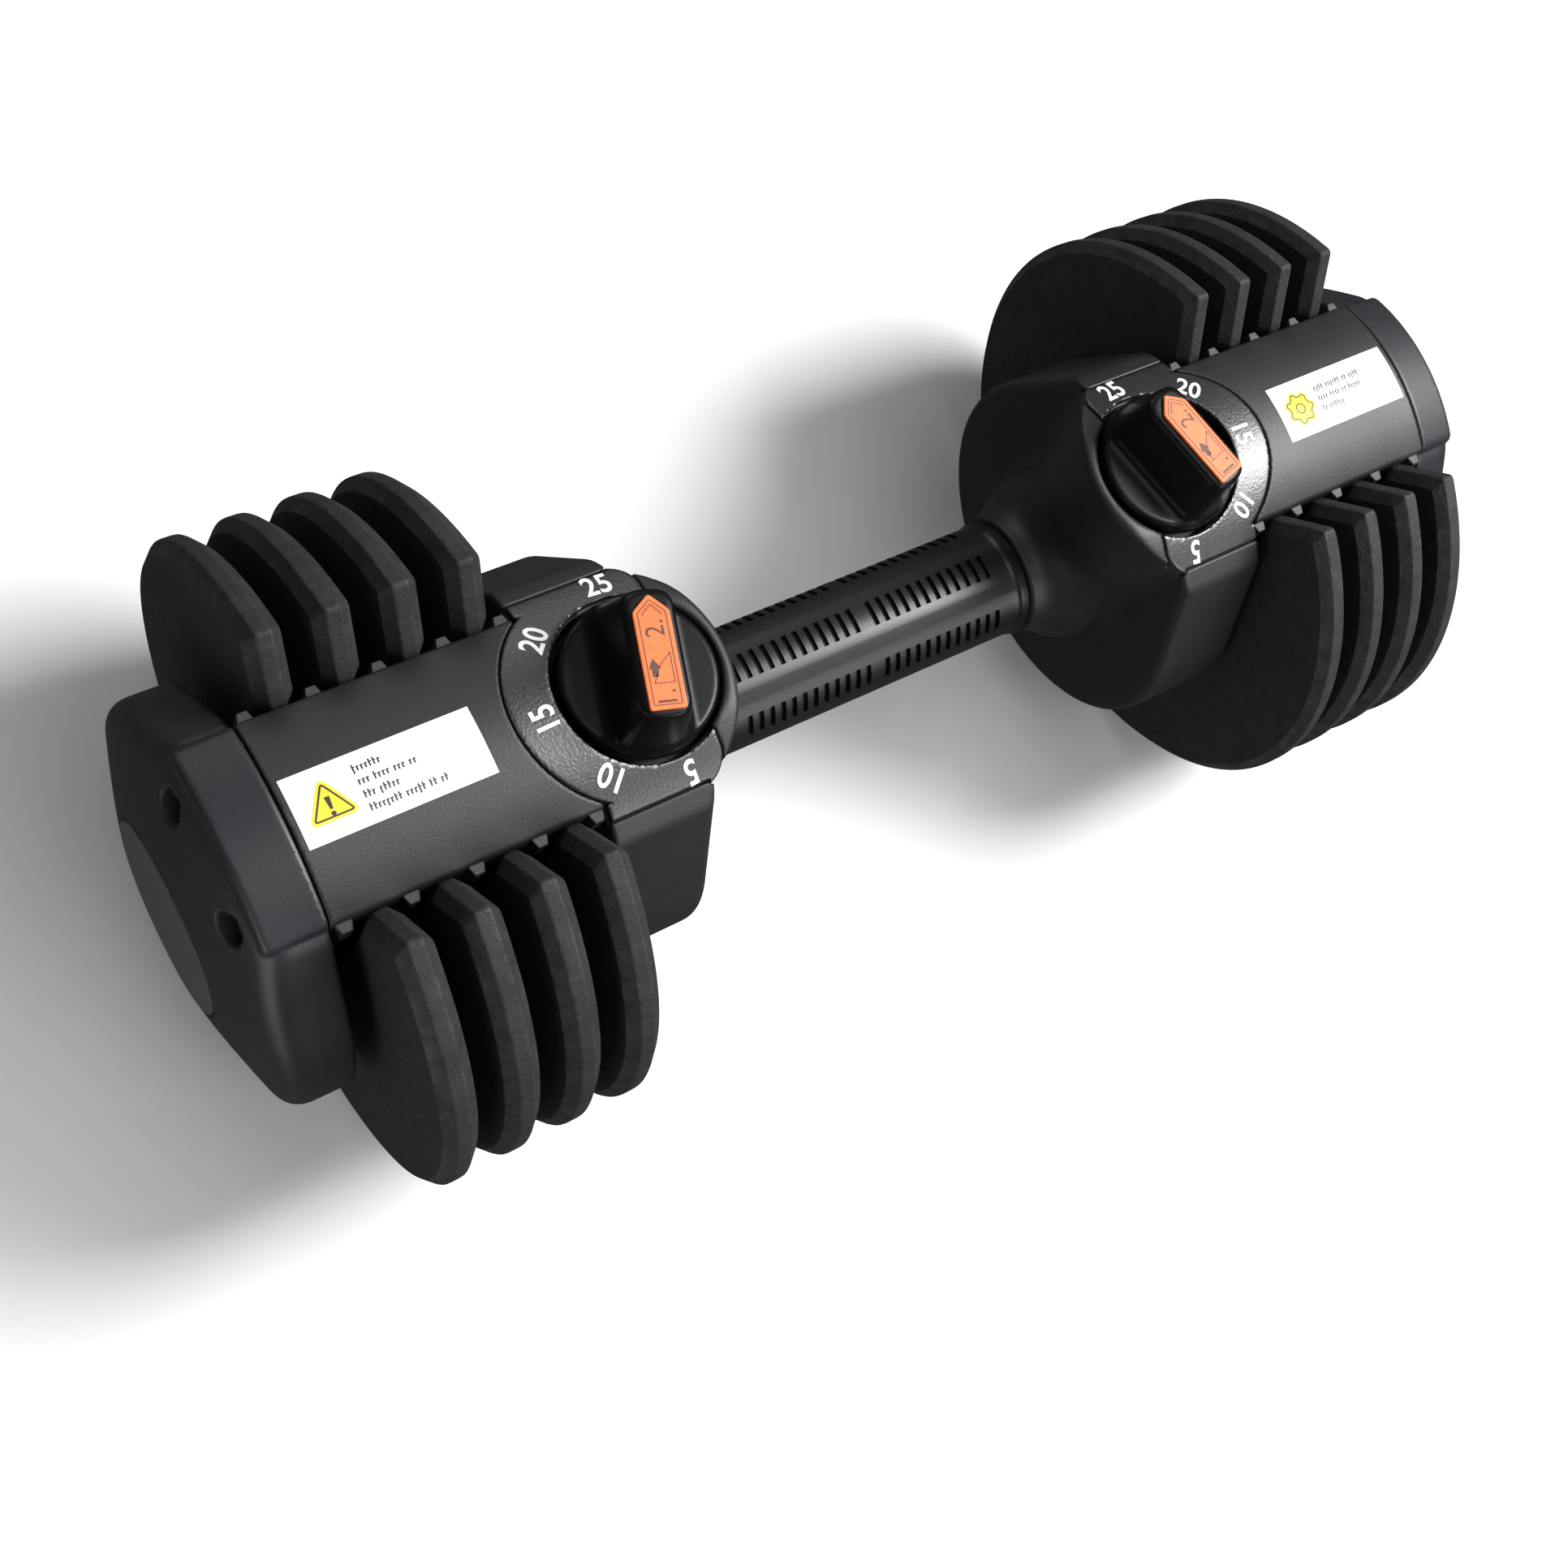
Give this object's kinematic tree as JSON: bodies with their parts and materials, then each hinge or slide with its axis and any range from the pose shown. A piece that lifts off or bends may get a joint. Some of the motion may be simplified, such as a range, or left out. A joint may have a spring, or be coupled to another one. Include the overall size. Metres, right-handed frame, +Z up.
{
  "type": "adjustable dumbbell",
  "caption": "Adjustable dumbbell: a handle between two modules, each with a press-and-turn dial that works cam discs holding slotted weight plates.",
  "frame": {"origin": "middle of the length and width, on the floor under the plates' bottom flats", "axes": "+X along the handle towards the right module, +Y away from the side the view is taken from, +Z up"},
  "size_m": [0.3796, 0.17, 0.1614],
  "materials": {
    "grip": "satin moulded grip",
    "steel": "bright zinc-plated steel",
    "charcoal": "textured charcoal nylon",
    "knob": "satin black nylon",
    "orange": "printed orange plate",
    "badge": "plain grey satin disc",
    "cast": "black sandy coating",
    "nylon": "natural acetal"
  },
  "bodies": {
    "frame": {"grip_sleeve": "grip", "handle_tube": "steel", "tie_rod": "steel", "right_inner_housing": "charcoal", "right_dial_panel": "charcoal", "right_bulkhead": "steel", "right_gear_bracket": "steel", "right_lock_ring": "nylon", "right_channel": "steel", "right_bridge_cover": "charcoal", "right_end_plate": "steel", "right_end_cap": "charcoal", "right_end_badge": "badge", "right_cap_screw_far": "steel", "right_cap_screw_near": "steel", "right_tie_nut": "steel", "right_plate_1": "cast", "right_plate_2": "cast", "right_plate_3": "cast", "right_plate_4": "cast", "left_inner_housing": "charcoal", "left_dial_panel": "charcoal", "left_bulkhead": "steel", "left_gear_bracket": "steel", "left_lock_ring": "nylon", "left_channel": "steel", "left_bridge_cover": "charcoal", "left_end_plate": "steel", "left_end_cap": "charcoal", "left_end_badge": "badge", "left_cap_screw_far": "steel", "left_cap_screw_near": "steel", "left_tie_nut": "steel", "left_plate_1": "cast", "left_plate_2": "cast", "left_plate_3": "cast", "left_plate_4": "cast"},
    "right_dial_shaft": {"right_dial_shaft": "steel"},
    "right_dial": {"right_dial_knob": "knob", "right_dial_pointer": "orange", "right_lock_plate": "nylon", "right_dial_spring": "steel"},
    "right_selector": {"right_selector_shaft": "steel", "right_selector_gear": "nylon", "right_selector_disc_1": "nylon", "right_selector_disc_2": "nylon", "right_selector_disc_3": "nylon", "right_selector_disc_4": "nylon"},
    "left_dial_shaft": {"left_dial_shaft": "steel"},
    "left_dial": {"left_dial_knob": "knob", "left_dial_pointer": "orange", "left_lock_plate": "nylon", "left_dial_spring": "steel"},
    "left_selector": {"left_selector_shaft": "steel", "left_selector_gear": "nylon", "left_selector_disc_1": "nylon", "left_selector_disc_2": "nylon", "left_selector_disc_3": "nylon", "left_selector_disc_4": "nylon"}
  },
  "joints": [
    {"name": "right_dial_turn", "type": "hinge", "parent": "frame", "child": "right_dial_shaft", "pos_m": [0.081, 0, 0.078], "axis": [0, 0, 1], "range_deg": [-196, 0]},
    {"name": "right_dial_press", "type": "slide", "parent": "right_dial_shaft", "child": "right_dial", "axis": [0, 0, -1], "range_m": [0, 0.0045], "stiffness_N_per_m": 900, "springref_m": -0.003, "deforming": ["right_dial_spring"]},
    {"name": "right_selector_turn", "type": "hinge", "parent": "frame", "child": "right_selector", "pos_m": [0.13, 0, 0.078], "axis": [1, 0, 0], "range_deg": [0, 196]},
    {"name": "left_dial_turn", "type": "hinge", "parent": "frame", "child": "left_dial_shaft", "pos_m": [-0.081, 0, 0.078], "axis": [0, 0, 1], "range_deg": [0, 196]},
    {"name": "left_dial_press", "type": "slide", "parent": "left_dial_shaft", "child": "left_dial", "axis": [0, 0, -1], "range_m": [0, 0.0045], "stiffness_N_per_m": 900, "springref_m": -0.003, "deforming": ["left_dial_spring"]},
    {"name": "left_selector_turn", "type": "hinge", "parent": "frame", "child": "left_selector", "pos_m": [-0.13, 0, 0.078], "axis": [1, 0, 0], "range_deg": [0, 196]}
  ],
  "couplings": [
    {"joint": "right_selector_turn", "follows": "right_dial_turn", "ratio": -1},
    {"joint": "left_selector_turn", "follows": "left_dial_turn", "ratio": 1}
  ]
}
